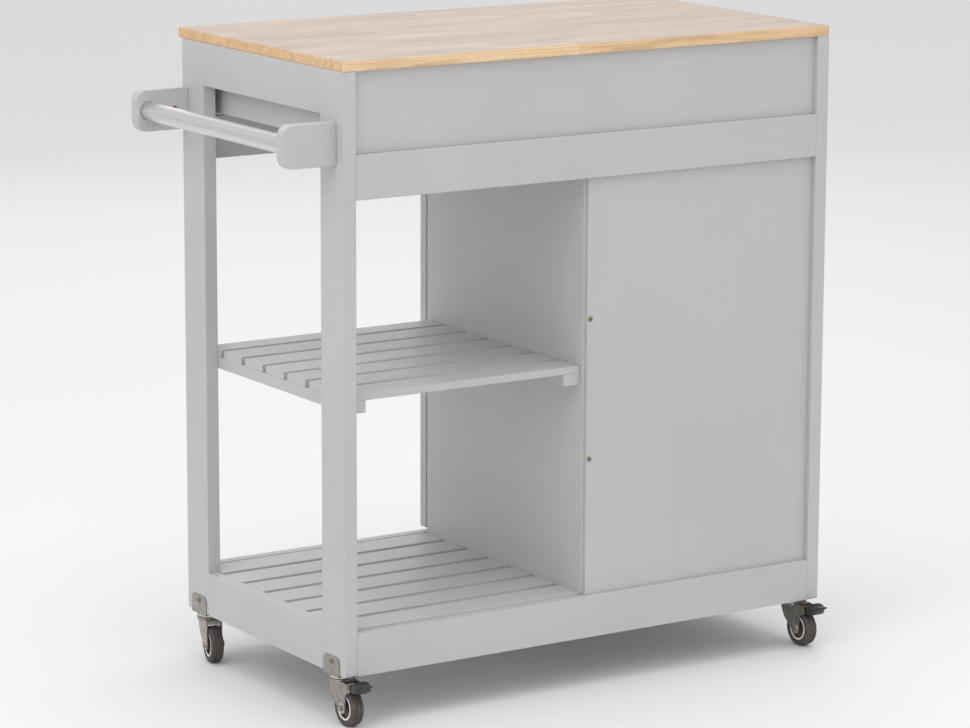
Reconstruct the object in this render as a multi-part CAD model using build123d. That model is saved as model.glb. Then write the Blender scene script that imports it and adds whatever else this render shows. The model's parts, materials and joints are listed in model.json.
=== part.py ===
from build123d import *
import os
from math import cos, radians, sin

# Kitchen island cart: grey frame cart with a wooden worktop, a slatted open bay, a cabinet and a towel rail.
# Units are millimetres and +Z is up. The front (drawers and door) faces -Y, the towel rail is at +X.
# Places on the cart are given as (u, v, z): u is the distance from the worktop's handle end towards the cabinet
# end, v the distance from its rear edge towards the front, and z the height above the floor.

# ---- driving dimensions ------------------------------------------------------------------------------------
WORKTOP_L = 766.0
WORKTOP_D = 434.0
WORKTOP_T = 14.0
HEIGHT = 870.0

LEG_T = 19.0              # leg across the cart's length
LEG_W = 58.0              # leg along the cart's depth
FRAME_D = 424.0           # depth over the legs
RAIL_T = 16.0
RAIL_H = 58.0
CASTER_H = 68.0           # floor to the underside of the legs

MID_RAIL_Z = 692.0        # underside of the rails below the drawers
PANEL_RECESS = 8.0        # rear panels set back from the legs' rear faces
UPPER_PANEL_T = 9.0
BACK_PANEL_T = 5.0
DIVIDER_U = 375.0         # open bay's side of the divider
DIVIDER_T = 15.0
CABINET_SHELF_Z = 400.0
BOARD_T = 15.0

SLAT_W = 47.0
SLAT_GAP = 10.0
SLAT_T = 10.0
SLATS = 7
CLEAT_W = 25.0
CLEAT_H = 16.0
MID_SHELF_TOP = 438.0
LOW_SHELF_TOP = 128.0

FRONT_T = 16.0            # drawer fronts and door
FRONT_GAP = 2.0
DOOR_U = (376.0, 744.0)
DOOR_Z = (134.0, 690.0)
DRAWER_TRAVEL = 280.0
SIDE_T = 12.0
KNOB_REACH = 24.0

HANDLE_REACH = 78.0       # towel-rail brackets beyond the end of the worktop
TOWEL_R = 12.5
TOWEL_U = -60.0
TOWEL_Z = 764.0
BRACKET_H = 56.0
BRACKET_T = 16.0

CASTER_INSET_U = 15.0     # swivel axis from the end of the worktop
CASTER_INSET_V = 33.0     # swivel axis from the outer face of the frame
WHEEL_R = 25.0
TRAIL = 18.0              # swivel axis to wheel axle
PEDAL_REACH = 68.0        # swivel axis to pedal tip
PLATE_T = 1.5
SCREW_HEAD = 1.6

# ---- derived places ----------------------------------------------------------------------------------------
LEG_TOP = HEIGHT - WORKTOP_T
LEG_BOTTOM = CASTER_H
INNER_U = (LEG_T, WORKTOP_L - LEG_T)
MID_RAIL_TOP = MID_RAIL_Z + RAIL_H
FRONT_V = (FRAME_D - FRONT_T, FRAME_D)
LOW_RAIL_TOP = LEG_BOTTOM + RAIL_H - 1.0
PANEL_FRONT_V = PANEL_RECESS + BACK_PANEL_T
REAR_INNER_V = PANEL_RECESS + UPPER_PANEL_T
FRONT_RAIL_V = (FRAME_D - RAIL_T, FRAME_D)
SWIVEL_V = {"rear": CASTER_INSET_V, "front": FRAME_D - CASTER_INSET_V}
SWIVEL_U = {"handle": CASTER_INSET_U, "cabinet": WORKTOP_L - CASTER_INSET_U}

# The origin is the middle of the whole cart's box, on the floor.
U_MIDDLE = (WORKTOP_L + PLATE_T + SCREW_HEAD - HANDLE_REACH) / 2
V_MIDDLE = (FRAME_D + KNOB_REACH + CASTER_INSET_V - PEDAL_REACH) / 2

parts = {}


# ---- helpers -----------------------------------------------------------------------------------------------
def at(u, v, z):
    """The row-frame point of a place on the cart."""
    return Vector(U_MIDDLE - u, V_MIDDLE - v, z)


def block(u, v, z):
    """A plain box over the ranges u, v and z."""
    size = [hi - lo for lo, hi in (u, v, z)]
    middle = [(lo + hi) / 2 for lo, hi in (u, v, z)]
    return Pos(*at(*middle)) * Box(*size)


def board(u, v, z, edge=0.8):
    """A board with slightly eased edges."""
    solid = block(u, v, z)
    return fillet(solid.edges(), edge)


def rod_u(radius, u, v, z):
    """A round rod along the cart's length."""
    length = u[1] - u[0]
    return Pos(*at(sum(u) / 2, v, z)) * Rot(0, 90, 0) * Cylinder(radius, length)


def rod_v(radius, u, v, z):
    """A round rod along the cart's depth."""
    length = v[1] - v[0]
    return Pos(*at(u, sum(v) / 2, z)) * Rot(90, 0, 0) * Cylinder(radius, length)


def rod_z(radius, u, v, z):
    """An upright round rod."""
    length = z[1] - z[0]
    return Pos(*at(u, v, sum(z) / 2)) * Cylinder(radius, length)


# ---- frame -------------------------------------------------------------------------------------------------
def worktop():
    return board((0, WORKTOP_L), (0, WORKTOP_D), (LEG_TOP, HEIGHT), edge=1.6)


def leg(u0, v0):
    """A board leg with eased corners and a rounded foot."""
    solid = block((u0, u0 + LEG_T), (v0, v0 + LEG_W), (LEG_BOTTOM, LEG_TOP))
    low_edges = solid.edges().filter_by(Axis.X).group_by(Axis.Z)[0]
    solid = fillet(low_edges, 3.5)
    return fillet(solid.edges().filter_by(lambda edge: edge.length > 10.0), 1.1)


def legs():
    for side, u0 in (("handle", 0.0), ("cabinet", WORKTOP_L - LEG_T)):
        for end, v0 in (("rear", 0.0), ("front", FRAME_D - LEG_W)):
            parts[f"leg_{end}_{side}"] = leg(u0, v0)


def rails():
    between_legs = (LEG_W, FRAME_D - LEG_W)
    handle_u = (0.0, RAIL_T)
    cabinet_u = (WORKTOP_L - RAIL_T, WORKTOP_L)
    end_low_z = (LEG_BOTTOM, LEG_BOTTOM + RAIL_H + 2.0)
    mid_z = (MID_RAIL_Z, MID_RAIL_TOP)
    parts["end_top_rail_handle"] = board(handle_u, between_legs, (LEG_TOP - RAIL_H, LEG_TOP))
    parts["end_bottom_rail_handle"] = board(handle_u, between_legs, end_low_z)
    parts["end_bottom_rail_cabinet"] = board(cabinet_u, between_legs, end_low_z)
    parts["rear_middle_rail"] = board(INNER_U, (0, RAIL_T), mid_z)
    parts["rear_bottom_rail"] = board(INNER_U, (0, RAIL_T), (LEG_BOTTOM, LOW_RAIL_TOP))
    parts["front_middle_rail"] = board(INNER_U, FRONT_RAIL_V, mid_z)
    parts["front_bottom_rail"] = board(INNER_U, FRONT_RAIL_V, (LEG_BOTTOM, LOW_SHELF_TOP))
    parts["front_top_rail"] = board(INNER_U, FRONT_RAIL_V, (LEG_TOP - 18.0, LEG_TOP))


def panels():
    upper_v = (PANEL_RECESS, REAR_INNER_V)
    parts["rear_upper_panel"] = board(INNER_U, upper_v, (MID_RAIL_TOP, LEG_TOP), edge=0.5)
    back_u = (DIVIDER_U + 4.0, INNER_U[1])
    back_z = (LOW_RAIL_TOP, MID_RAIL_Z)
    parts["cabinet_back_panel"] = board(back_u, (PANEL_RECESS, PANEL_FRONT_V), back_z, edge=0.4)
    end_u = (WORKTOP_L - 13.0, WORKTOP_L - 4.0)
    end_z = (LEG_BOTTOM + RAIL_H + 2.0, LEG_TOP)
    parts["cabinet_end_panel"] = board(end_u, (LEG_W, FRAME_D - LEG_W), end_z, edge=0.5)


# ---- cabinet -----------------------------------------------------------------------------------------------
PIN_R = 2.5
PIN_IN = 8.0
PIN_OUT = 9.0


def pin_places():
    """Shelf-pin middles: each pin is half in the divider or in a cabinet-end leg."""
    for v in (40.0, FRAME_D - 40.0):
        yield DIVIDER_U + DIVIDER_T, -1, v
        yield INNER_U[1], 1, v


def shelf_pin(face_u, into, v):
    """One pin across the face at face_u; into is the side that the board lies on."""
    ends = sorted((face_u + into * PIN_IN, face_u - into * PIN_OUT))
    return rod_u(PIN_R, ends, v, CABINET_SHELF_Z - PIN_R)


def cabinet():
    divider_u = (DIVIDER_U, DIVIDER_U + DIVIDER_T)
    front_v = FRONT_V[0] - 5.0
    divider = block(divider_u, (PANEL_FRONT_V, front_v), (LOW_RAIL_TOP + 1.0, MID_RAIL_Z))
    divider += block(divider_u, (REAR_INNER_V, front_v), (MID_RAIL_Z, LEG_TOP))
    pins = [shelf_pin(*place) for place in pin_places()]
    for pin in pins:
        divider -= pin
        for end in ("rear", "front"):
            parts[f"leg_{end}_cabinet"] -= pin
    parts["divider"] = divider
    parts["shelf_pins"] = Compound(pins)
    floor_v = (RAIL_T, FRONT_RAIL_V[0])
    floor_z = (LOW_RAIL_TOP + 1.0 - BOARD_T, LOW_RAIL_TOP + 1.0)
    parts["cabinet_floor"] = board((DIVIDER_U, INNER_U[1]), floor_v, floor_z, edge=0.4)
    shelf_u = (DIVIDER_U + DIVIDER_T + 1.0, INNER_U[1] - 1.0)
    shelf_z = (CABINET_SHELF_Z, CABINET_SHELF_Z + BOARD_T)
    parts["cabinet_shelf"] = board(shelf_u, (PANEL_FRONT_V + 5.0, front_v - 8.0), shelf_z)


# ---- slatted shelves ---------------------------------------------------------------------------------------
def slats(u0_of, first_v, rear_v, front_v, top):
    """Slats along the cart at one pitch, the outer ones trimmed to the shelf's depth."""
    made = []
    for k in range(SLATS):
        v0 = first_v + k * (SLAT_W + SLAT_GAP)
        span = (max(v0, rear_v), min(v0 + SLAT_W, front_v))
        made.append(board((u0_of(span), DIVIDER_U), span, (top - SLAT_T, top)))
    return Compound(made)


def slatted_shelves():
    def beside_legs(span):
        meets_leg = span[0] < LEG_W or span[1] > FRAME_D - LEG_W
        return LEG_T if meets_leg else RAIL_T

    mid_v = (19.5, 397.0)
    low_v = (RAIL_T, FRONT_RAIL_V[0] - 3.0)
    parts["middle_shelf_slats"] = slats(lambda span: LEG_T, 18.0, *mid_v, MID_SHELF_TOP)
    parts["bottom_shelf_slats"] = slats(beside_legs, low_v[0], *low_v, LOW_SHELF_TOP)
    cleats = []
    for top, span in ((MID_SHELF_TOP, mid_v), (LOW_SHELF_TOP, low_v)):
        z = (top - SLAT_T - CLEAT_H, top - SLAT_T)
        cleats.append(board((LEG_T, LEG_T + CLEAT_W), span, z))
        cleats.append(board((DIVIDER_U - CLEAT_W, DIVIDER_U), span, z))
    parts["shelf_cleats"] = Compound(cleats)


# ---- drawers -----------------------------------------------------------------------------------------------
DRAWER_Z = (758.0, 826.0)
DRAWER_REAR_V = 30.0
DRAWER_FRONT_Z = (MID_RAIL_TOP + FRONT_GAP, LEG_TOP - 18.0 - FRONT_GAP)
BOTTOM_T = 4.0
BOTTOM_Z = DRAWER_Z[0] + 8.0
GROOVE = 4.0
SIDE_IN = 12.0            # drawer sides from the faces beside them
RUNNER_LOW_HALF = 11.0
RUNNER_HALF = 9.0
RUNNER_TOP = DRAWER_Z[0] - 0.4
GUIDE_HALF = 16.0
GUIDE_LOW = MID_RAIL_TOP + FRONT_GAP
SLIDE_GAP = 0.4
PARTITION_U = (DIVIDER_U, DIVIDER_U + DIVIDER_T)
DRAWERS = {
    "handle_side": ((LEG_T, PARTITION_U[0]), (LEG_T + FRONT_GAP, 381.0)),
    "cabinet_side": ((PARTITION_U[1], INNER_U[1]), (383.0, INNER_U[1] - FRONT_GAP)),
}


def drawer(bay, front_u, name):
    """A drawer: front, two grooved sides, a back and a thin bottom with a guide under it."""
    box_u = (bay[0] + SIDE_IN, bay[1] - SIDE_IN)
    front = board(front_u, FRONT_V, DRAWER_FRONT_Z, edge=1.0)
    bottom_u = (box_u[0] + SIDE_T - GROOVE + 0.3, box_u[1] - SIDE_T + GROOVE - 0.3)
    bottom_v = (DRAWER_REAR_V, FRONT_V[0] + GROOVE)
    bottom_z = (BOTTOM_Z, BOTTOM_Z + BOTTOM_T)
    bottom = block(bottom_u, bottom_v, bottom_z)
    groove = block((bottom_u[0] - 0.3, bottom_u[1] + 0.3), (DRAWER_REAR_V - 1.0, bottom_v[1]), bottom_z)
    sides = []
    for u0 in (box_u[0], box_u[1] - SIDE_T):
        side = block((u0, u0 + SIDE_T), (DRAWER_REAR_V, FRONT_V[0]), DRAWER_Z)
        sides.append(side - groove)
    back_u = (box_u[0] + SIDE_T, box_u[1] - SIDE_T)
    back_v = (DRAWER_REAR_V, DRAWER_REAR_V + SIDE_T)
    back = block(back_u, back_v, (bottom_z[1], DRAWER_Z[1] - 6.0))
    parts[f"drawer_{name}_front"] = front - groove
    parts[f"drawer_{name}_sides"] = Compound(sides)
    parts[f"drawer_{name}_back"] = back
    parts[f"drawer_{name}_bottom"] = Compound([bottom, drawer_guide(sum(bay) / 2)])
    parts[f"drawer_{name}_knob"] = knob(sum(front_u) / 2, sum(DRAWER_FRONT_Z) / 2)


def drawer_guide(middle_u):
    """A channel under the drawer's bottom that straddles the runner."""
    span_v = (DRAWER_REAR_V + SIDE_T, FRONT_V[0])
    channel_half = RUNNER_HALF + SLIDE_GAP
    whole = block((middle_u - GUIDE_HALF, middle_u + GUIDE_HALF), span_v, (GUIDE_LOW, BOTTOM_Z))
    channel_z = (GUIDE_LOW, RUNNER_TOP + SLIDE_GAP)
    return whole - block((middle_u - channel_half, middle_u + channel_half), span_v, channel_z)


def drawer_runners():
    """A hardwood beam under the middle of each drawer, between the front and rear rails."""
    made = []
    for bay, _ in DRAWERS.values():
        u = sum(bay) / 2
        low_z = (MID_RAIL_TOP - BOARD_T, MID_RAIL_TOP)
        beam = block((u - RUNNER_LOW_HALF, u + RUNNER_LOW_HALF), (RAIL_T, FRONT_RAIL_V[0]), low_z)
        high_v = (REAR_INNER_V, FRONT_V[0] - 4.0)
        made.append(beam + block((u - RUNNER_HALF, u + RUNNER_HALF), high_v, (MID_RAIL_TOP, RUNNER_TOP)))
    return Compound(made)


def knob(u, z):
    """A turned round knob on a front, standing out by KNOB_REACH."""
    with BuildPart() as turned:
        with BuildSketch(Plane.XZ):
            with BuildLine():
                Polyline((0, 0), (8.0, 0), (8.0, 2.0))
                ThreePointArc((8.0, 2.0), (5.5, 7.5), (8.0, 13.0))
                ThreePointArc((8.0, 13.0), (14.0, 17.5), (8.5, KNOB_REACH - 1.0))
                Polyline((8.5, KNOB_REACH - 1.0), (7.0, KNOB_REACH), (0, KNOB_REACH), (0, 0))
            make_face()
        revolve(axis=Axis.Z)
    return Pos(*at(u, FRAME_D, z)) * Rot(90, 0, 0) * turned.part


# ---- door --------------------------------------------------------------------------------------------------
HINGE_H = 50.0
HINGE_Z = (215.0, 609.0)
HINGE_LEAF = 1.2
HINGE_AXIS = (sum((DOOR_U[1], INNER_U[1])) / 2, FRAME_D + 3.0)
KNUCKLE_R = 3.0
HINGE_PIN_R = 1.5
PIN_FIT = 0.05


def hinge_leaf(z_middle, plate_u, thirds):
    """One butt-hinge leaf: a plate and its knuckles on the barrel, in the given thirds of its height."""
    low = z_middle - HINGE_H / 2
    plate_v = (FRAME_D - 15.0, FRAME_D - 0.4)
    leaf = block(plate_u, plate_v, (low, low + HINGE_H))
    third = HINGE_H / 3
    for k in thirds:
        z = (low + k * third + 0.2, low + (k + 1) * third - 0.2)
        leaf += block(plate_u, (plate_v[1] - 1.0, HINGE_AXIS[1]), z)
        leaf += rod_z(KNUCKLE_R, *HINGE_AXIS, z)
    return leaf


def door():
    parts["door"] = board(DOOR_U, FRONT_V, DOOR_Z, edge=1.5)
    parts["door_knob"] = knob(DOOR_U[0] + 30.0, 520.0)
    fixed = []
    moving = []
    for z in HINGE_Z:
        whole = (z - HINGE_H / 2 + 0.2, z + HINGE_H / 2 - 0.2)
        fixed_leaf = hinge_leaf(z, (INNER_U[1] - HINGE_LEAF, INNER_U[1]), (0, 2))
        fixed.append(fixed_leaf + rod_z(HINGE_PIN_R, *HINGE_AXIS, whole))
        moving_leaf = hinge_leaf(z, (DOOR_U[1], DOOR_U[1] + HINGE_LEAF), (1,))
        moving.append(moving_leaf - rod_z(HINGE_PIN_R + PIN_FIT, *HINGE_AXIS, whole))
    parts["door_hinge_fixed_leaves"] = Compound(fixed)
    parts["door_hinge_moving_leaves"] = Compound(moving)
    catch_u = (DIVIDER_U + DIVIDER_T, DIVIDER_U + DIVIDER_T + 14.0)
    parts["magnetic_catch"] = board(catch_u, (386.0, FRONT_V[0] - 1.6), (500.0, 540.0))
    strike_u = (catch_u[0] + 1.0, catch_u[1] - 1.0)
    parts["catch_strike_plate"] = block(strike_u, (FRONT_V[0] - 1.2, FRONT_V[0]), (502.0, 538.0))


# ---- towel rail --------------------------------------------------------------------------------------------
BRACKET_V = {"rear": (17.0, 33.0), "front": (407.0, 423.0)}
BARREL_NUT_U = -21.0
BARREL_NUT_R = 3.5
BOLT_R = 2.6
TUBE_IN = 8.0             # how far the tube enters each bracket


def bracket(v, inner_v, outward):
    """A wooden bracket with two rounded outer corners, a socket for the tube and bores for its fastener."""
    solid = block((-HANDLE_REACH, 0), v, (TOWEL_Z - BRACKET_H / 2, TOWEL_Z + BRACKET_H / 2))
    outer = solid.edges().filter_by(Axis.Y).group_by(Axis.X)[-1]
    solid = fillet(outer, 15.0)
    faces = solid.faces().filter_by(Axis.Y)
    rims = ShapeList([edge for face in faces for edge in face.edges()])
    solid = fillet(rims, 1.0)
    socket = sorted((inner_v, inner_v + outward * (TUBE_IN + 0.3)))
    solid -= rod_v(TOWEL_R + 0.3, TOWEL_U, socket, TOWEL_Z)
    nut = sorted((inner_v, inner_v + outward * 12.0))
    solid -= rod_v(BARREL_NUT_R, BARREL_NUT_U, nut, TOWEL_Z + 1.0)
    middle_v = sum(v) / 2
    return solid - rod_u(BOLT_R, (BARREL_NUT_U, 1.0), middle_v, TOWEL_Z + 1.0)


def towel_rail():
    rear_v, front_v = BRACKET_V["rear"], BRACKET_V["front"]
    inner = (rear_v[1], front_v[0])
    parts["towel_bracket_rear"] = bracket(rear_v, inner[0], -1)
    parts["towel_bracket_front"] = bracket(front_v, inner[1], 1)
    tube_v = (inner[0] - TUBE_IN, inner[1] + TUBE_IN)
    tube = rod_v(TOWEL_R, TOWEL_U, tube_v, TOWEL_Z) - rod_v(TOWEL_R - 1.5, TOWEL_U, tube_v, TOWEL_Z)
    parts["towel_rail"] = tube
    made = []
    for end, face_v, outward in (("rear", inner[0], -1), ("front", inner[1], 1)):
        v = sum(BRACKET_V[end]) / 2
        z = TOWEL_Z + 1.0
        barrel = rod_v(BARREL_NUT_R, BARREL_NUT_U, sorted((face_v, face_v + outward * 12.0)), z)
        bolt = rod_u(BOLT_R, (BARREL_NUT_U - BARREL_NUT_R - 2.0, LEG_T - 3.0), v, z)
        head = rod_u(5.5, (LEG_T - 3.5, LEG_T - 0.5), v, z)
        leg_name = f"leg_{end}_handle"
        parts[leg_name] -= rod_u(BOLT_R, (-1.0, LEG_T), v, z)
        parts[leg_name] -= rod_u(5.5, (LEG_T - 3.5, LEG_T + 1.0), v, z)
        made.append(barrel - bolt)
        made.append(bolt + head)
        parts[f"towel_bracket_{end}"] -= bolt
    parts["towel_bracket_fasteners"] = Compound(made)


# ---- casters -----------------------------------------------------------------------------------------------
HEADINGS = {("rear", "handle"): 0.0, ("rear", "cabinet"): 0.0, ("front", "handle"): -13.0, ("front", "cabinet"): 12.0}
BRAKED = {("rear", "handle"), ("rear", "cabinet")}
PLATE_HALF = 20.0
PLATE_REACH = 36.0        # caster plate's inner edge from the end face
SIDE_PLATE_TOP = 92.0
RACE_R = 16.0
KINGPIN_R = 4.0
FIT = 0.06                # radial running clearance
FORK_TOP = (57.0, 61.6)
FORK_IN = 9.8             # inner faces of the fork's cheeks from the wheel's middle
FORK_OUT = 11.3
AXLE_R = 3.0
HUB_R = 17.0
TYRE_HALF = 8.8
RIVET_X = 32.0
RIVET_Z = 53.5
RIVET_R = 2.0
LIP_HALF = 7.0            # half width of the pedal's lip


def screw_places():
    """Heads of the screws that can be seen: (u, v, z) of the head's seat and its outward direction."""
    for side, u, out in (("handle", -PLATE_T, (-1, 0)), ("cabinet", WORKTOP_L + PLATE_T, (1, 0))):
        for v in SWIVEL_V.values():
            yield (u, v, 85.0), out
    for z in (312.0, 502.0):
        yield (DIVIDER_U + 8.5, PANEL_RECESS, z), (0, -1)


def screw(place, out):
    """A cross-head screw's head, standing out of the face it holds."""
    head = Cylinder(3.4, SCREW_HEAD)
    head = fillet(head.edges().sort_by(Axis.Z)[-1], 1.0)
    for turn in (0, 90):
        head -= Pos(0, 0, SCREW_HEAD / 2) * Rot(0, 0, turn) * Box(3.6, 0.8, 1.2)
    aim = Rot(0, 90 * -out[0], 0) if out[0] else Rot(-90, 0, 0)
    seat = at(*place) + Vector(-out[0], -out[1], 0) * (SCREW_HEAD / 2)
    return Pos(*seat) * aim * head


def caster_plate(side, end):
    """An L-shaped plate under a leg, with its kingpin and upper race."""
    u = SWIVEL_U[side]
    v = SWIVEL_V[end]
    span = (v - PLATE_HALF, v + PLATE_HALF)
    plate_z = (LEG_BOTTOM - 2.0, LEG_BOTTOM)
    if side == "handle":
        flat_u, wing_u = (-PLATE_T, PLATE_REACH), (-PLATE_T, 0.0)
    else:
        flat_u, wing_u = (WORKTOP_L - PLATE_REACH, WORKTOP_L + PLATE_T), (WORKTOP_L, WORKTOP_L + PLATE_T)
    wing = block(wing_u, span, (plate_z[0], SIDE_PLATE_TOP))
    wing = fillet(wing.edges().filter_by(Axis.X).group_by(Axis.Z)[-1], 7.0)
    plate = block(flat_u, span, plate_z) + wing
    plate += rod_z(RACE_R, u, v, (FORK_TOP[1] + 0.4, plate_z[0]))
    plate += rod_z(KINGPIN_R, u, v, (FORK_TOP[0] - 2.4, FORK_TOP[1] + 1.0))
    return plate + rod_z(7.0, u, v, (FORK_TOP[0] - 2.4, FORK_TOP[0] - 0.4))


def cheek_outline(braked):
    """The side of a fork: from the race down to the axle, with a lobe for the pedal where there is one."""
    with BuildSketch(Plane.XZ) as outline:
        with BuildLine():
            Polyline((-15.0, 60.0), (-15.5, 50.0), (-9.0, 37.0), (TRAIL - 8.0, 21.0))
            ThreePointArc((TRAIL - 8.0, 21.0), (TRAIL, 17.0), (TRAIL + 8.0, 25.0))
            if braked:
                Polyline((TRAIL + 8.0, 25.0), (25.0, 40.0), (29.0, 46.5), (35.5, 48.5), (39.0, 53.0))
                Polyline((39.0, 53.0), (37.5, 57.5), (32.0, 59.0), (16.0, 60.0), (-15.0, 60.0))
            else:
                Polyline((TRAIL + 8.0, 25.0), (24.0, 44.0), (24.5, 54.0), (20.0, 60.0), (-15.0, 60.0))
        make_face()
    return outline.sketch


def fork(braked):
    """A stamped fork about a swivel axis at the origin, trailing along +X."""
    cheeks = extrude(cheek_outline(braked), amount=-FORK_OUT, both=True)
    cheeks -= Pos(10.0, 0, 30.0) * Box(80.0, 2 * FORK_IN, 2 * (FORK_TOP[0] - 30.0))
    cheeks -= Pos(45.0, 0, 50.0) * Box(2 * (45.0 - 22.0), 2 * FORK_IN, 40.0)
    body = cheeks + Pos(0, 0, sum(FORK_TOP) / 2) * Cylinder(RACE_R + 1.0, FORK_TOP[1] - FORK_TOP[0])
    if not braked:
        body += Pos(20.0, 0, 55.5) * Box(2.0, 2 * FORK_OUT - 1.0, 6.0)
    body -= Pos(0, 0, 57.0) * Cylinder(KINGPIN_R + FIT, 20.0)
    body -= Pos(TRAIL, 0, WHEEL_R) * Rot(90, 0, 0) * Cylinder(AXLE_R, 40.0)
    if braked:
        body -= Pos(RIVET_X, 0, RIVET_Z) * Rot(90, 0, 0) * Cylinder(RIVET_R, 40.0)
    return body


def axle_bolt():
    """The wheel's bolt, with a hex head on one cheek and a nut on the other."""
    shank = Cylinder(AXLE_R, 2 * FORK_OUT)
    for way in (-1, 1):
        hexagon = extrude(RegularPolygon(4.6, 6), amount=3.4)
        shank += Pos(0, 0, FORK_OUT if way > 0 else -FORK_OUT - 3.4) * hexagon
    return Pos(TRAIL, 0, WHEEL_R) * Rot(90, 0, 0) * shank


def rivet():
    """The cross pin that the brake pedal turns on."""
    pin = Cylinder(RIVET_R, 2 * FORK_OUT)
    for way in (-1, 1):
        pin += Pos(0, 0, way * (FORK_OUT + 0.6)) * Cylinder(3.2, 1.2)
    return Pos(RIVET_X, 0, RIVET_Z) * Rot(90, 0, 0) * pin


def hub():
    """A plastic wheel centre with a dished web and a long boss."""
    web = Cylinder(HUB_R, 9.0) + Cylinder(6.0, 2 * (FORK_IN - 0.4))
    rim = Cylinder(HUB_R, 15.0) - Cylinder(HUB_R - 2.0, 15.0)
    solid = web + rim - Cylinder(AXLE_R + FIT, 40.0)
    return Pos(TRAIL, 0, WHEEL_R) * Rot(90, 0, 0) * solid


def tyre():
    """A rubber tyre with a crowned tread."""
    ring = Cylinder(WHEEL_R, 2 * TYRE_HALF)
    ring = fillet(ring.edges(), 3.5) - Cylinder(HUB_R, 40.0)
    return Pos(TRAIL, 0, WHEEL_R) * Rot(90, 0, 0) * ring


def pedal():
    """A brake pedal: a boss between the cheeks and a wide tread that overhangs the wheel."""
    with BuildSketch(Plane.XZ) as outline:
        with BuildLine():
            Spline((27.0, 56.0), (40.0, 62.0), (50.0, 65.0), (58.0, 62.5))
            Polyline((58.0, 62.5), (PEDAL_REACH, 65.0), (PEDAL_REACH, 61.5), (59.5, 57.5), (56.0, 51.0))
            Polyline((56.0, 51.0), (42.0, 47.5), (34.0, 47.5), (28.5, 50.5), (27.0, 56.0))
        make_face()
    boss_half = FORK_IN - 0.4
    solid = extrude(outline.sketch, amount=-13.0, both=True)
    for way in (-1, 1):
        cheek_side = Box(20.0, 13.0 - boss_half + 1.0, 40.0)
        solid -= Pos(30.6, way * (boss_half + (13.0 - boss_half + 1.0) / 2), 56.0) * cheek_side
        solid -= Pos(PEDAL_REACH - 3.0, way * (LIP_HALF + 5.0), 60.0) * Box(16.0, 10.0, 20.0)
    return solid - Pos(RIVET_X, 0, RIVET_Z) * Rot(90, 0, 0) * Cylinder(RIVET_R + FIT, 40.0)


def casters():
    plates = []
    for side in ("handle", "cabinet"):
        for end in ("rear", "front"):
            key = (end, side)
            plates.append(caster_plate(side, end))
            swivel = at(SWIVEL_U[side], SWIVEL_V[end], 0)
            place = Pos(*swivel) * Rot(0, 0, 90 + HEADINGS[key])
            name = f"caster_{end}_{side}"
            solids = [fork(key in BRAKED), axle_bolt()]
            if key in BRAKED:
                solids.append(rivet())
                parts[f"{name}_pedal"] = place * pedal()
            parts[f"{name}_fork"] = Compound([place * solid for solid in solids])
            parts[f"{name}_hub"] = place * hub()
            parts[f"{name}_tyre"] = place * tyre()
    parts["caster_plates"] = Compound(plates)
    parts["screws"] = Compound([screw(*place) for place in screw_places()])


def main():
    os.makedirs("parts", exist_ok=True)
    parts["worktop"] = worktop()
    legs()
    rails()
    panels()
    cabinet()
    slatted_shelves()
    for name, (bay, front_u) in DRAWERS.items():
        drawer(bay, front_u, name)
    parts["drawer_runners"] = drawer_runners()
    door()
    towel_rail()
    casters()
    for name, shape in parts.items():
        export_step(shape, f"parts/{name}.step")
    print(len(parts), "nodes")


main()
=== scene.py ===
import json
import math

import bmesh
import bpy
from mathutils import Matrix, Vector


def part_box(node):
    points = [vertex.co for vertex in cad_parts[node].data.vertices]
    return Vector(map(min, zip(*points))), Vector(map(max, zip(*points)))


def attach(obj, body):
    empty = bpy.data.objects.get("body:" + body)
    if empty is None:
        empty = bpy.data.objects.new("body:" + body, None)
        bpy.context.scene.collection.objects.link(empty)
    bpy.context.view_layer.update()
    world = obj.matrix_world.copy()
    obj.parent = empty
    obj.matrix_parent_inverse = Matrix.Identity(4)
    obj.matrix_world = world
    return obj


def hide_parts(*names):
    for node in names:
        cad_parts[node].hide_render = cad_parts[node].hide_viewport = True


# A rolling kitchen cart seen from its rear: grey frame, wooden worktop, slatted bay, cabinet and casters.
# Everything is in metres, in the CAD's own frame.
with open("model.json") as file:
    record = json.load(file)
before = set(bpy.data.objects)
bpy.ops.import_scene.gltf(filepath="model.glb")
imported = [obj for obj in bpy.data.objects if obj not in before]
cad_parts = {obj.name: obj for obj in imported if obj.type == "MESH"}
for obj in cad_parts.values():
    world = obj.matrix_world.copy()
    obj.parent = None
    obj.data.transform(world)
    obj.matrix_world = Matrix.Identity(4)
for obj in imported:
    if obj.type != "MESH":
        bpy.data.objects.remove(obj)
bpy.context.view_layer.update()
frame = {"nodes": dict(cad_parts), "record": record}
nodes = frame["nodes"]


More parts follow.
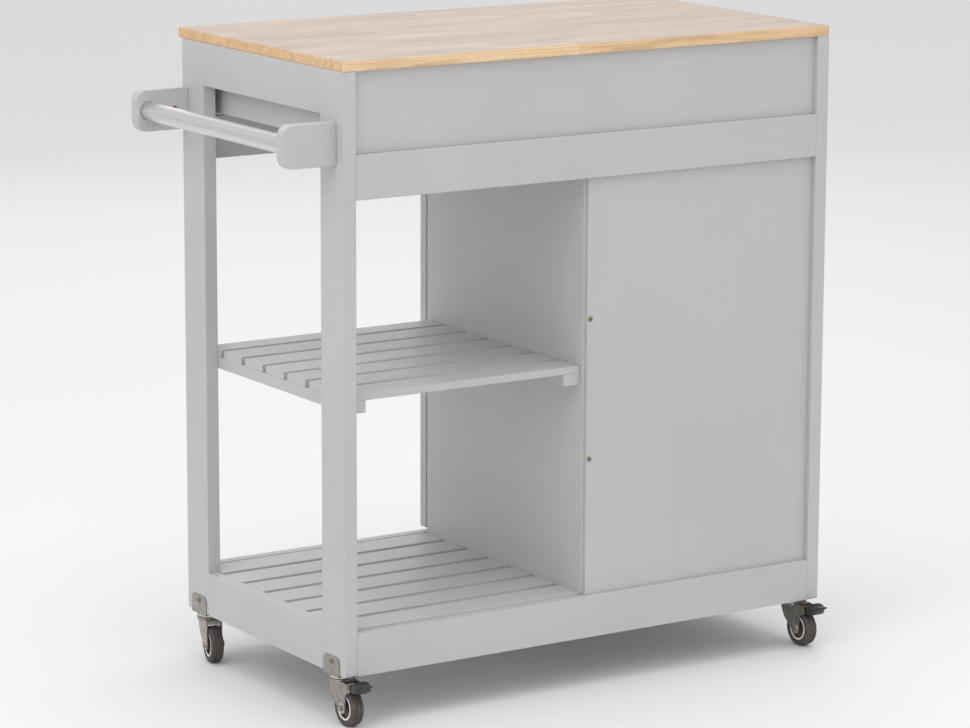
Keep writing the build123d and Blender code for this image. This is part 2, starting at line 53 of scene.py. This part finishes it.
# ---- material building -------------------------------------------------------------------------------------
class Finish:
    """A procedural material: helpers that add a node and give back its output."""

    def __init__(self, name, **constants):
        self.material = bpy.data.materials.new(name)
        self.material.use_nodes = True
        self.tree = self.material.node_tree
        self.shader = self.tree.nodes["Principled BSDF"]
        for key, value in constants.items():
            self.shader.inputs[key.replace("_", " ")].default_value = value
        self.place = self.node("TexCoord").outputs["Object"]

    def node(self, kind, **settings):
        made = self.tree.nodes.new("ShaderNode" + kind)
        for key, value in settings.items():
            setattr(made, key, value)
        return made

    def feed(self, socket, value):
        if isinstance(value, bpy.types.NodeSocket):
            self.tree.links.new(value, socket)
        else:
            socket.default_value = value

    def scaled(self, scale, shift=(0, 0, 0), source=None):
        """The object coordinates times scale, so that patterns can be stretched along a board."""
        made = self.node("Mapping")
        self.feed(made.inputs["Vector"], source or self.place)
        made.inputs["Scale"].default_value = scale
        made.inputs["Location"].default_value = shift
        return made.outputs[0]

    def noise(self, scale, detail=3.0, rough=0.5, distortion=0.0, source=None):
        made = self.node("TexNoise")
        self.feed(made.inputs["Vector"], source or self.place)
        made.inputs["Scale"].default_value = scale
        made.inputs["Detail"].default_value = detail
        made.inputs["Roughness"].default_value = rough
        made.inputs["Distortion"].default_value = distortion
        return made.outputs[0]

    def cells(self, scale):
        made = self.node("TexVoronoi", feature="F1")
        self.feed(made.inputs["Vector"], self.place)
        made.inputs["Scale"].default_value = scale
        return made.outputs["Distance"]

    def calc(self, operation, *values):
        made = self.node("Math", operation=operation)
        for socket, value in zip(made.inputs, values):
            self.feed(socket, value)
        return made.outputs[0]

    def ranged(self, value, low, high, to_low, to_high):
        made = self.node("MapRange")
        for key, given in zip(range(5), (value, low, high, to_low, to_high)):
            self.feed(made.inputs[key], given)
        return made.outputs[0]

    def mixed(self, share, first, second):
        made = self.node("Mix", data_type="RGBA", blend_type="MIX")
        self.feed(made.inputs["Factor"], share)
        self.feed(made.inputs[6], first)
        self.feed(made.inputs[7], second)
        return made.outputs[2]

    def bumped(self, height, strength, distance, normal=None):
        made = self.node("Bump")
        made.inputs["Strength"].default_value = strength
        made.inputs["Distance"].default_value = distance
        self.feed(made.inputs["Height"], height)
        if normal is not None:
            self.feed(made.inputs["Normal"], normal)
        return made.outputs[0]

    def done(self, colour=None, roughness=None, normal=None):
        for key, value in (("Base Color", colour), ("Roughness", roughness), ("Normal", normal)):
            if value is not None:
                self.feed(self.shader.inputs[key], value)
        return self.material


def rgb(red, green, blue):
    return (red, green, blue, 1.0)


def stretch(axis, along, across):
    """A scale that is low along one axis and high across it."""
    return tuple(along if i == axis else across for i in range(3))


def painted(axis):
    """Satin paint on wood: a faint sprayed texture, a trace of the grain, and slow tone changes."""
    made = Finish("painted_wood_" + "xyz"[axis], IOR=1.46)
    grain = made.noise(1.0, 5.0, 0.62, 0.3, made.scaled(stretch(axis, 5.0, 170.0)))
    cloud = made.noise(3.2, 2.0)
    peel = made.noise(520.0, 2.0, 0.5)
    colour = made.mixed(made.ranged(cloud, 0.35, 0.65, 0.0, 1.0), PAINT_LOW, PAINT_HIGH)
    colour = made.mixed(made.ranged(grain, 0.25, 0.5, 0.10, 0.0), colour, PAINT_GRAIN)
    gloss = made.ranged(made.calc("ADD", grain, cloud), 0.6, 1.4, 0.50, 0.40)
    normal = made.bumped(grain, 0.10, 0.0006)
    return made.done(colour, gloss, made.bumped(peel, 0.06, 0.0004, normal))


PAINT_LOW = rgb(0.500, 0.501, 0.508)
PAINT_HIGH = rgb(0.528, 0.528, 0.534)
PAINT_GRAIN = rgb(0.43, 0.43, 0.435)

STAVE_W = 0.0434
STAVE_L = 0.41
STAVE_SHIFT = 0.0061
RING_PITCH = 0.0034


def stave_wood():
    """Edge-glued staves with finger-jointed ends: rings, fibres and pores that run along each stave."""
    made = Finish("worktop_wood", IOR=1.5)
    apart = made.node("SeparateXYZ")
    made.feed(apart.inputs[0], made.place)
    x, y, z = apart.outputs
    rows = made.calc("DIVIDE", made.calc("ADD", y, STAVE_SHIFT), STAVE_W)
    row = made.calc("FLOOR", rows)
    in_row = made.calc("FRACT", rows)
    row_noise = made.node("TexWhiteNoise", noise_dimensions="1D")
    made.feed(row_noise.inputs["W"], row)
    start = made.calc("MULTIPLY", row_noise.outputs["Value"], 7.3)
    along = made.calc("ADD", made.calc("DIVIDE", x, STAVE_L), start)
    piece = made.calc("ADD", made.calc("FLOOR", along), made.calc("MULTIPLY", row, 13.7))
    own = made.node("TexWhiteNoise", noise_dimensions="1D")
    made.feed(own.inputs["W"], piece)
    parts = made.node("SeparateColor")
    made.feed(parts.inputs[0], own.outputs["Color"])
    tone, off_y, off_z = parts.outputs

    # each stave has its own part of the log: shift the pattern by its random numbers
    shift = made.node("CombineXYZ")
    made.feed(shift.inputs[0], made.calc("MULTIPLY", tone, 3.0))
    made.feed(shift.inputs[1], made.calc("MULTIPLY", off_y, 2.0))
    made.feed(shift.inputs[2], made.calc("MULTIPLY", off_z, 2.0))
    moved = made.node("VectorMath", operation="ADD")
    made.feed(moved.inputs[0], made.place)
    made.feed(moved.inputs[1], shift.outputs[0])
    local = moved.outputs[0]

    # growth rings about a centre below or beside the stave
    side = made.calc("SUBTRACT", made.calc("MULTIPLY", in_row, STAVE_W), made.calc("MULTIPLY", off_y, 0.10))
    depth = made.calc("SUBTRACT", z, made.calc("SUBTRACT", 0.845, made.calc("MULTIPLY", off_z, 0.05)))
    squares = made.calc("ADD", made.calc("POWER", side, 2.0), made.calc("POWER", depth, 2.0))
    radius = made.calc("SQRT", squares)
    wander = made.noise(1.0, 2.0, 0.5, 0.0, made.scaled((3.2, 22.0, 22.0), source=local))
    radius = made.calc("ADD", radius, made.calc("MULTIPLY", wander, 0.016))
    ring = made.calc("SINE", made.calc("MULTIPLY", radius, 2 * math.pi / RING_PITCH))
    fibre = made.noise(1.0, 6.0, 0.65, 0.2, made.scaled((9.0, 420.0, 420.0), source=local))
    streak = made.noise(1.0, 3.0, 0.6, 0.6, made.scaled((7.0, 95.0, 95.0), source=local))
    pore = made.noise(1.0, 1.0, 0.5, 0.0, made.scaled((75.0, 2300.0, 2300.0), source=local))
    pore = made.ranged(pore, 0.66, 0.74, 0.0, 1.0)

    colour = made.mixed(tone, WOOD_PALE, WOOD_WARM)
    colour = made.mixed(made.ranged(ring, 0.1, 1.0, 0.0, 0.30), colour, WOOD_RING)
    colour = made.mixed(made.ranged(streak, 0.50, 0.68, 0.0, 0.75), colour, WOOD_STREAK)
    colour = made.mixed(made.ranged(fibre, 0.40, 0.66, 0.0, 0.32), colour, WOOD_RING)
    colour = made.mixed(made.calc("MULTIPLY", pore, 0.55), colour, WOOD_PORE)

    # glue lines between the staves, and the butt of each finger joint
    from_side = made.calc("ABSOLUTE", made.calc("SUBTRACT", in_row, 0.5))
    from_end = made.calc("ABSOLUTE", made.calc("SUBTRACT", made.calc("FRACT", along), 0.5))
    side_line = made.ranged(from_side, 0.5 - 0.00035 / STAVE_W, 0.5, 0.0, 0.45)
    end_line = made.ranged(from_end, 0.5 - 0.0005 / STAVE_L, 0.5, 0.0, 0.6)
    line = made.calc("MAXIMUM", side_line, end_line)
    colour = made.mixed(line, colour, WOOD_PORE)

    # end grain drinks the lacquer and is a little darker; the top face is washed grey and made darker than
    # the sawn edges, which is painted shade for how the light falls on the top
    facing = made.node("SeparateXYZ")
    made.feed(facing.inputs[0], made.node("TexCoord").outputs["Normal"])
    end_face = made.ranged(made.calc("ABSOLUTE", facing.outputs[0]), 0.6, 0.95, 0.0, 1.0)
    top_face = made.ranged(facing.outputs[2], 0.6, 0.95, 0.0, 1.0)
    end_cut = made.noise(1.0, 4.0, 0.7, 0.0, made.scaled((60.0, 900.0, 130.0), source=local))
    end_dark = made.calc("MULTIPLY", end_face, made.ranged(end_cut, 0.40, 0.62, 0.0, 0.9))
    colour = made.mixed(end_dark, colour, WOOD_RING)
    # painted shade: a grey tint over upward faces only, its share varied in soft blotches
    blotch = made.noise(1.0, 3.0, 0.6, 0.5, made.scaled((4.0, 30.0, 30.0), source=local))
    top_shade = made.ranged(blotch, 0.35, 0.65, TOP_SHADE_SHARE - 0.12, TOP_SHADE_SHARE + 0.12)
    colour = made.mixed(made.calc("MULTIPLY", top_face, top_shade), colour, WOOD_TOP_SHADE)

    gloss = made.ranged(made.calc("ADD", fibre, made.calc("MULTIPLY", pore, 0.4)), 0.3, 1.0, 0.34, 0.52)
    height = made.calc("SUBTRACT", made.calc("MULTIPLY", fibre, 0.5), made.calc("ADD", pore, line))
    return made.done(colour, gloss, made.bumped(height, 0.22, 0.0005))


WOOD_PALE = rgb(0.88, 0.67, 0.43)
WOOD_WARM = rgb(0.80, 0.55, 0.31)
WOOD_RING = rgb(0.58, 0.34, 0.15)
WOOD_STREAK = rgb(0.50, 0.33, 0.19)
WOOD_PORE = rgb(0.26, 0.15, 0.075)
# painted shade: the grey tint laid over the worktop's top face, and how much of it is mixed in
WOOD_TOP_SHADE = rgb(0.205, 0.185, 0.203)
TOP_SHADE_SHARE = 0.66


def sawn_wood(axis):
    """Sanded pale hardwood for the drawer runners."""
    made = Finish("plain_wood_" + "xyz"[axis], IOR=1.45)
    wander = made.noise(1.0, 2.0, 0.5, 0.0, made.scaled(stretch(axis, 2.0, 18.0)))
    bands = made.noise(1.0, 2.0, 0.5, 0.4, made.scaled(stretch(axis, 1.5, 120.0)))
    fibre = made.noise(1.0, 6.0, 0.7, 0.0, made.scaled(stretch(axis, 14.0, 620.0)))
    colour = made.mixed(wander, rgb(0.66, 0.51, 0.33), rgb(0.60, 0.44, 0.26))
    colour = made.mixed(made.ranged(bands, 0.45, 0.7, 0.0, 0.55), colour, rgb(0.46, 0.30, 0.16))
    colour = made.mixed(made.ranged(fibre, 0.4, 0.7, 0.0, 0.3), colour, rgb(0.42, 0.28, 0.16))
    return made.done(colour, made.ranged(fibre, 0.3, 0.7, 0.55, 0.72), made.bumped(fibre, 0.3, 0.0005))


def hardboard():
    """Thin board with a smooth grey face and a faint pressed fleck."""
    made = Finish("drawer_bottom", IOR=1.45)
    fleck = made.noise(850.0, 3.0, 0.7)
    cloud = made.noise(9.0, 3.0, 0.6)
    colour = made.mixed(cloud, rgb(0.47, 0.465, 0.455), rgb(0.56, 0.555, 0.545))
    colour = made.mixed(made.ranged(fleck, 0.55, 0.75, 0.0, 0.4), colour, rgb(0.35, 0.34, 0.33))
    return made.done(colour, made.ranged(fleck, 0.3, 0.7, 0.5, 0.65), made.bumped(fleck, 0.12, 0.0004))


def brushed_tube():
    """Stainless tube with fine lines along it."""
    made = Finish("brushed_tube", Metallic=1.0)
    lines = made.noise(1.0, 4.0, 0.7, 0.0, made.scaled((2600.0, 22.0, 2600.0)))
    broad = made.noise(1.0, 2.0, 0.5, 0.0, made.scaled((260.0, 5.0, 260.0)))
    colour = made.mixed(lines, rgb(0.60, 0.59, 0.58), rgb(0.80, 0.785, 0.77))
    colour = made.mixed(made.ranged(broad, 0.4, 0.7, 0.0, 0.35), colour, rgb(0.52, 0.515, 0.51))
    gloss = made.ranged(lines, 0.25, 0.75, 0.26, 0.44)
    return made.done(colour, gloss, made.bumped(lines, 0.16, 0.0002))


def plated(name, light, dark, rough_low, rough_high, scratch=0.35):
    """Plated pressed steel: blotchy plating, fine scratches, a slightly uneven pressed surface."""
    made = Finish(name, Metallic=1.0)
    cloud = made.noise(140.0, 4.0, 0.6, 0.4)
    pressed = made.noise(60.0, 2.0, 0.5)
    marks = made.noise(1.0, 3.0, 0.7, 0.0, made.scaled((2100.0, 190.0, 900.0)))
    colour = made.mixed(made.ranged(cloud, 0.3, 0.7, 0.0, 1.0), light, dark)
    colour = made.mixed(made.ranged(marks, 0.6, 0.8, 0.0, scratch), colour, rgb(0.78, 0.77, 0.76))
    gloss = made.ranged(made.calc("ADD", cloud, marks), 0.6, 1.4, rough_low, rough_high)
    normal = made.bumped(pressed, 0.10, 0.0008)
    return made.done(colour, gloss, made.bumped(marks, 0.10, 0.0002, normal))


def turned_steel():
    """Satin nickel turned on a lathe: a soft even grain and small handling marks."""
    made = Finish("knob_steel", Metallic=1.0)
    grain = made.noise(1900.0, 3.0, 0.7)
    cloud = made.noise(70.0, 3.0, 0.6)
    colour = made.mixed(grain, rgb(0.52, 0.51, 0.49), rgb(0.66, 0.65, 0.63))
    gloss = made.ranged(made.calc("ADD", grain, cloud), 0.6, 1.4, 0.24, 0.38)
    return made.done(colour, gloss, made.bumped(grain, 0.08, 0.0002))


def moulded(name, low, high, rough, texture=900.0, depth=0.25):
    """Moulded plastic with a fine spark-eroded texture and soft tone changes."""
    made = Finish(name, IOR=1.5)
    spark = made.cells(texture)
    cloud = made.noise(45.0, 3.0, 0.6)
    colour = made.mixed(made.ranged(cloud, 0.3, 0.7, 0.0, 1.0), low, high)
    uneven = made.calc("ADD", made.calc("MULTIPLY", spark, 0.5), cloud)
    gloss = made.ranged(uneven, 0.4, 1.0, rough - 0.08, rough + 0.08)
    return made.done(colour, gloss, made.bumped(spark, depth, 0.0003))


def tyre_rubber():
    """Grey-brown rubber with lighter, rougher dusty patches here and there."""
    made = Finish("tyre_rubber", IOR=1.5)
    fine = made.noise(1500.0, 3.0, 0.7)
    dust = made.noise(85.0, 4.0, 0.65, 0.5)
    colour = made.mixed(fine, rgb(0.060, 0.050, 0.046), rgb(0.090, 0.077, 0.071))
    colour = made.mixed(made.ranged(dust, 0.5, 0.75, 0.0, 0.45), colour, rgb(0.17, 0.155, 0.145))
    gloss = made.ranged(dust, 0.3, 0.7, 0.62, 0.86)
    return made.done(colour, gloss, made.bumped(fine, 0.35, 0.0003))


# ---- finishes on the CAD nodes -----------------------------------------------------------------------------
def longest_side(node):
    low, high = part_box(node)
    size = high - low
    return max(range(3), key=lambda i: size[i])


paints = [painted(axis) for axis in range(3)]
sawn = [sawn_wood(axis) for axis in range(3)]
finishes = {
    "worktop_wood": stave_wood(),
    "drawer_bottom": hardboard(),
    "brushed_tube": brushed_tube(),
    "plated_steel": plated("plated_steel", rgb(0.43, 0.403, 0.375), rgb(0.28, 0.26, 0.24), 0.26, 0.46),
    "yellow_zinc": plated("yellow_zinc", rgb(0.40, 0.19, 0.11), rgb(0.24, 0.11, 0.07), 0.3, 0.5, 0.1),
    "knob_steel": turned_steel(),
    "white_plastic": moulded("white_plastic", rgb(0.84, 0.835, 0.82), rgb(0.89, 0.885, 0.87), 0.42),
    "hub_plastic": moulded("hub_plastic", rgb(0.105, 0.066, 0.054), rgb(0.145, 0.095, 0.078), 0.40),
    "pedal_plastic": moulded(
        "pedal_plastic", rgb(0.020, 0.017, 0.017), rgb(0.032, 0.028, 0.028), 0.34, 700.0, 0.25
    ),
    "tyre_rubber": tyre_rubber(),
}

bright_zinc = plated("bright_zinc", rgb(0.80, 0.79, 0.76), rgb(0.66, 0.65, 0.62), 0.2, 0.36, 0.5)
screw_zinc = plated("screw_zinc", rgb(0.34, 0.33, 0.22), rgb(0.20, 0.19, 0.13), 0.3, 0.48, 0.2)

slot_of = {part["node"]: part["material_slot"] for part in frame["record"]["subparts"]}
for name, obj in nodes.items():
    slot = slot_of[name]
    if slot == "painted_wood":
        material = paints[longest_side(name)]
    elif slot == "plain_wood":
        material = sawn[longest_side(name)]
    else:
        material = finishes[slot]
    if name == "screws":
        material = screw_zinc
    for place in obj.material_slots:
        place.material = material


# ---- added detail ------------------------------------------------------------------------------------------
BRAKED = ("rear_handle", "rear_cabinet")
CASTERS = BRAKED + ("front_handle", "front_cabinet")
SHARP = math.radians(40.0)
joints = {joint["name"]: joint for joint in frame["record"]["behaviour"]["joints"]}


def mesh_piece(name, bm, material, body):
    mesh = bpy.data.meshes.new(name)
    bmesh.ops.recalc_face_normals(bm, faces=bm.faces)
    for face in bm.faces:
        face.smooth = True
    bm.to_mesh(mesh)
    bm.free()
    mesh.set_sharp_from_angle(angle=SHARP)
    mesh.materials.append(material)
    obj = bpy.data.objects.new(name, mesh)
    bpy.context.scene.collection.objects.link(obj)
    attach(obj, body)
    return obj


def lathe(bm, profile, place, steps=72):
    """Turns a closed profile of (radius, height) in millimetres about the place's own Z axis."""
    rings = []
    for k in range(steps):
        turn = 2 * math.pi * k / steps
        spin = Matrix.Rotation(turn, 4, "Z")
        rings.append([bm.verts.new(place @ spin @ Vector((r / 1000, 0, h / 1000))) for r, h in profile])
    count = len(profile)
    for k in range(steps):
        here, after = rings[k], rings[(k + 1) % steps]
        for i in range(count):
            j = (i + 1) % count
            bm.faces.new((here[i], here[j], after[j], after[i]))


def joint_place(name):
    """The joint's point, with Z along its axis."""
    joint = joints[name]
    turn = Vector((0, 0, 1)).rotation_difference(Vector(joint["axis"]))
    return Matrix.Translation(joint["pos_m"]) @ turn.to_matrix().to_4x4()


def ring_profile(inner, outer, low, high, ease):
    """A square ring section with eased outer corners."""
    outside = [(outer - ease, low), (outer, low + ease), (outer, high - ease), (outer - ease, high)]
    return [(inner, low)] + outside + [(inner, high)]


TREAD_R = 25.0
TREAD_HALF = 5.3
SHOULDER = 3.5
GROOVE_AT = 2.6
GROOVE_HALF = 0.55
GROOVE_DEPTH = 0.7


def tyre_profile():
    """Half of the tread, from its middle out to the sidewall, then mirrored."""
    half = [(TREAD_R, 0.0), (TREAD_R, GROOVE_AT - GROOVE_HALF - 0.15)]
    half += [(TREAD_R - GROOVE_DEPTH, GROOVE_AT - GROOVE_HALF + 0.1)]
    half += [(TREAD_R - GROOVE_DEPTH, GROOVE_AT + GROOVE_HALF - 0.1)]
    half += [(TREAD_R, GROOVE_AT + GROOVE_HALF + 0.15)]
    for k in range(9):
        turn = math.pi / 2 * k / 8
        half.append((TREAD_R - SHOULDER + SHOULDER * math.cos(turn), TREAD_HALF + SHOULDER * math.sin(turn)))
    wall = TREAD_HALF + SHOULDER
    half += [(19.2, wall), (18.6, wall - 0.5), (17.0, wall - 0.6)]
    return [(r, -h) for r, h in reversed(half[1:])] + half


# inner and outer radius, low and high face, and the ease of the outer corners, in millimetres
HUB_RING = (14.6, 17.2, 7.1, 8.1, 0.3)
AXLE_WASHER = (4.1, 6.6, 11.3, 12.1, 0.25)
SWIVEL_RING = (15.0, 16.8, 2.4, 4.6, 0.5)


def caster_detail(name):
    wheel = joint_place(f"caster_{name}_spin")
    body = f"caster_{name}_wheel"
    bm = bmesh.new()
    lathe(bm, tyre_profile(), wheel, 96)
    tyre = mesh_piece(f"tyre_tread_{name}", bm, finishes["tyre_rubber"], body)
    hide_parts(f"caster_{name}_tyre")
    bm = bmesh.new()
    washers = bmesh.new()
    for way in (1, -1):
        side = wheel @ Matrix.Diagonal((1, 1, way, 1))
        lathe(bm, ring_profile(*HUB_RING), side)
        lathe(washers, ring_profile(*AXLE_WASHER), side, 40)
    mesh_piece(f"hub_ring_{name}", bm, finishes["white_plastic"], body)
    mesh_piece(f"axle_washers_{name}", washers, bright_zinc, f"caster_{name}_fork")
    bm = bmesh.new()
    lathe(bm, ring_profile(*SWIVEL_RING), joint_place(f"caster_{name}_swivel"))
    mesh_piece(f"swivel_ring_{name}", bm, bright_zinc, "cart")


# stations along the pedal, in millimetres: reach from the swivel, half width, underside and top
PEDAL_STATIONS = (
    (27.6, 9.2, 50.8, 56.2), (29.5, 9.3, 49.4, 57.8), (34.0, 9.3, 47.7, 59.9), (40.5, 9.3, 47.5, 62.2),
    (41.5, 11.2, 47.8, 62.6), (46.0, 11.6, 48.8, 64.5), (51.0, 11.4, 49.9, 65.0), (55.0, 10.6, 51.2, 64.2),
    (57.4, 8.8, 54.4, 63.2), (59.4, 6.2, 58.3, 62.9), (64.0, 5.6, 60.0, 64.0), (67.6, 5.1, 61.7, 64.8),
)
SECTION_STEPS = 32
RIB_PLACES = (43.5, 46.0, 48.5, 51.0, 53.5)
RIB_SIZE = (0.0150, 0.0010, 0.0011, 1.0)
CROWN = (50.0, 64.9, 0.03)     # reach and height of the crown's top, and how fast it falls away


def corner_round(value):
    return math.copysign(abs(value) ** 0.5, value)


RIVET_BORE = 0.00212         # radius in metres: the rivet and a little clearance
BORE_LENGTH = 0.04


def bore(obj, place, radius, length):
    """Cuts a round hole through a mesh piece along the place's own Z axis."""
    bm = bmesh.new()
    bmesh.ops.create_cone(
        bm, cap_ends=True, segments=48, radius1=radius, radius2=radius, depth=length, matrix=place
    )
    mesh = bpy.data.meshes.new("cutter")
    bm.to_mesh(mesh)
    bm.free()
    cutter = bpy.data.objects.new("cutter", mesh)
    bpy.context.scene.collection.objects.link(cutter)
    cut = obj.modifiers.new("bore", "BOOLEAN")
    cut.operation, cut.solver, cut.object = "DIFFERENCE", "EXACT", cutter
    bpy.context.view_layer.update()
    whole = obj.evaluated_get(bpy.context.evaluated_depsgraph_get())
    obj.data = bpy.data.meshes.new_from_object(whole)
    obj.modifiers.clear()
    bpy.data.objects.remove(cutter)
    bpy.data.meshes.remove(mesh)


def brake_pedal(name):
    """A domed pedal that narrows to a thin lip, with cross ribs on its crown."""
    swivel = joint_place(f"caster_{name}_swivel")
    base = swivel.translation.z * 1000
    bm = bmesh.new()
    rings = []
    for reach, half, low, high in PEDAL_STATIONS:
        ring = []
        for k in range(SECTION_STEPS):
            turn = 2 * math.pi * k / SECTION_STEPS
            side = half * corner_round(math.cos(turn))
            height = (low + high) / 2 + (high - low) / 2 * corner_round(math.sin(turn)) - base
            ring.append(bm.verts.new(swivel @ Vector((side / 1000, reach / 1000, height / 1000))))
        rings.append(ring)
    for here, after in zip(rings, rings[1:]):
        for k in range(SECTION_STEPS):
            j = (k + 1) % SECTION_STEPS
            bm.faces.new((here[k], here[j], after[j], after[k]))
    bm.faces.new(rings[0])
    bm.faces.new(rings[-1])
    body = f"caster_{name}_pedal"
    pedal = mesh_piece(f"brake_pedal_{name}", bm, finishes["pedal_plastic"], body)
    bore(pedal, joint_place(f"caster_{name}_brake"), RIVET_BORE, BORE_LENGTH)
    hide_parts(f"caster_{name}_pedal")
    bm = bmesh.new()
    for reach in RIB_PLACES:
        crown = CROWN[1] - CROWN[2] * (reach - CROWN[0]) ** 2 - base
        middle = Matrix.Translation((0.0, reach / 1000, crown / 1000))
        size = Matrix.Diagonal(RIB_SIZE)
        bmesh.ops.create_cube(bm, size=1.0, matrix=swivel @ middle @ size)
    bmesh.ops.bevel(bm, geom=bm.edges[:], offset=0.0003, segments=2, affect="EDGES", profile=0.5)
    mesh_piece(f"pedal_ribs_{name}", bm, finishes["pedal_plastic"], body)


for name in CASTERS:
    caster_detail(name)
for name in BRAKED:
    brake_pedal(name)


# ---- floor, light and camera -------------------------------------------------------------------------------
def floor():
    made = Finish("studio_floor", IOR=1.4)
    cloud = made.noise(0.6, 2.0)
    fine = made.noise(240.0, 2.0)
    colour = made.mixed(cloud, rgb(0.84, 0.84, 0.84), rgb(0.86, 0.86, 0.86))
    material = made.done(colour, made.ranged(fine, 0.3, 0.7, 0.8, 0.9))
    bm = bmesh.new()
    bmesh.ops.create_grid(bm, x_segments=1, y_segments=1, size=40.0)
    mesh = bpy.data.meshes.new("studio_floor")
    bm.to_mesh(mesh)
    bm.free()
    mesh.materials.append(material)
    obj = bpy.data.objects.new("studio_floor", mesh)
    obj.location.z = -0.0002
    bpy.context.scene.collection.objects.link(obj)


LIGHT_AIM = (0.0, 0.0, 0.45)


def softbox(name, place, size, power):
    data = bpy.data.lights.new(name, "AREA")
    data.shape = "RECTANGLE"
    data.size, data.size_y = size
    data.energy = power
    obj = bpy.data.objects.new(name, data)
    obj.location = place
    obj.rotation_euler = (Vector(LIGHT_AIM) - Vector(place)).to_track_quat("-Z", "Y").to_euler()
    bpy.context.scene.collection.objects.link(obj)


def studio():
    world = bpy.data.worlds.new("studio")
    world.use_nodes = True
    sky = world.node_tree.nodes["Background"]
    sky.inputs["Color"].default_value = rgb(1.0, 0.995, 0.99)
    sky.inputs["Strength"].default_value = 0.82
    bpy.context.scene.world = world
    softbox("key_end", (2.1, 0.8, 2.2), (1.5, 1.3), 12.0)
    softbox("top", (0.0, 0.2, 3.4), (3.6, 3.0), 34.0)
    softbox("fill_rear", (0.0, 2.6, 2.6), (2.0, 1.4), 7.0)
    softbox("fill_front", (-1.6, -3.6, 2.2), (3.0, 2.0), 12.0)


CAMERA_PLACE = (2.83285, 4.41036, 1.48506)
CAMERA_TURN = 0.57097         # about Z, from looking along -Y towards -X
CAMERA_PITCH = -0.20217
CAMERA_ROLL = 0.00387
CAMERA_LENS = 145.5


def camera():
    data = bpy.data.cameras.new("camera")
    data.lens = CAMERA_LENS
    data.sensor_width = 36.0
    data.clip_start, data.clip_end = 0.05, 200.0
    obj = bpy.data.objects.new("camera", data)
    level = Matrix.Rotation(math.pi - CAMERA_TURN, 4, "Z")
    tip = Matrix.Rotation(math.pi / 2 + CAMERA_PITCH, 4, "X")
    roll = Matrix.Rotation(CAMERA_ROLL, 4, "Z")
    obj.matrix_world = Matrix.Translation(CAMERA_PLACE) @ level @ tip @ roll
    bpy.context.scene.collection.objects.link(obj)
    bpy.context.scene.camera = obj


floor()
studio()
camera()
bpy.context.scene.view_settings.view_transform = "Standard"
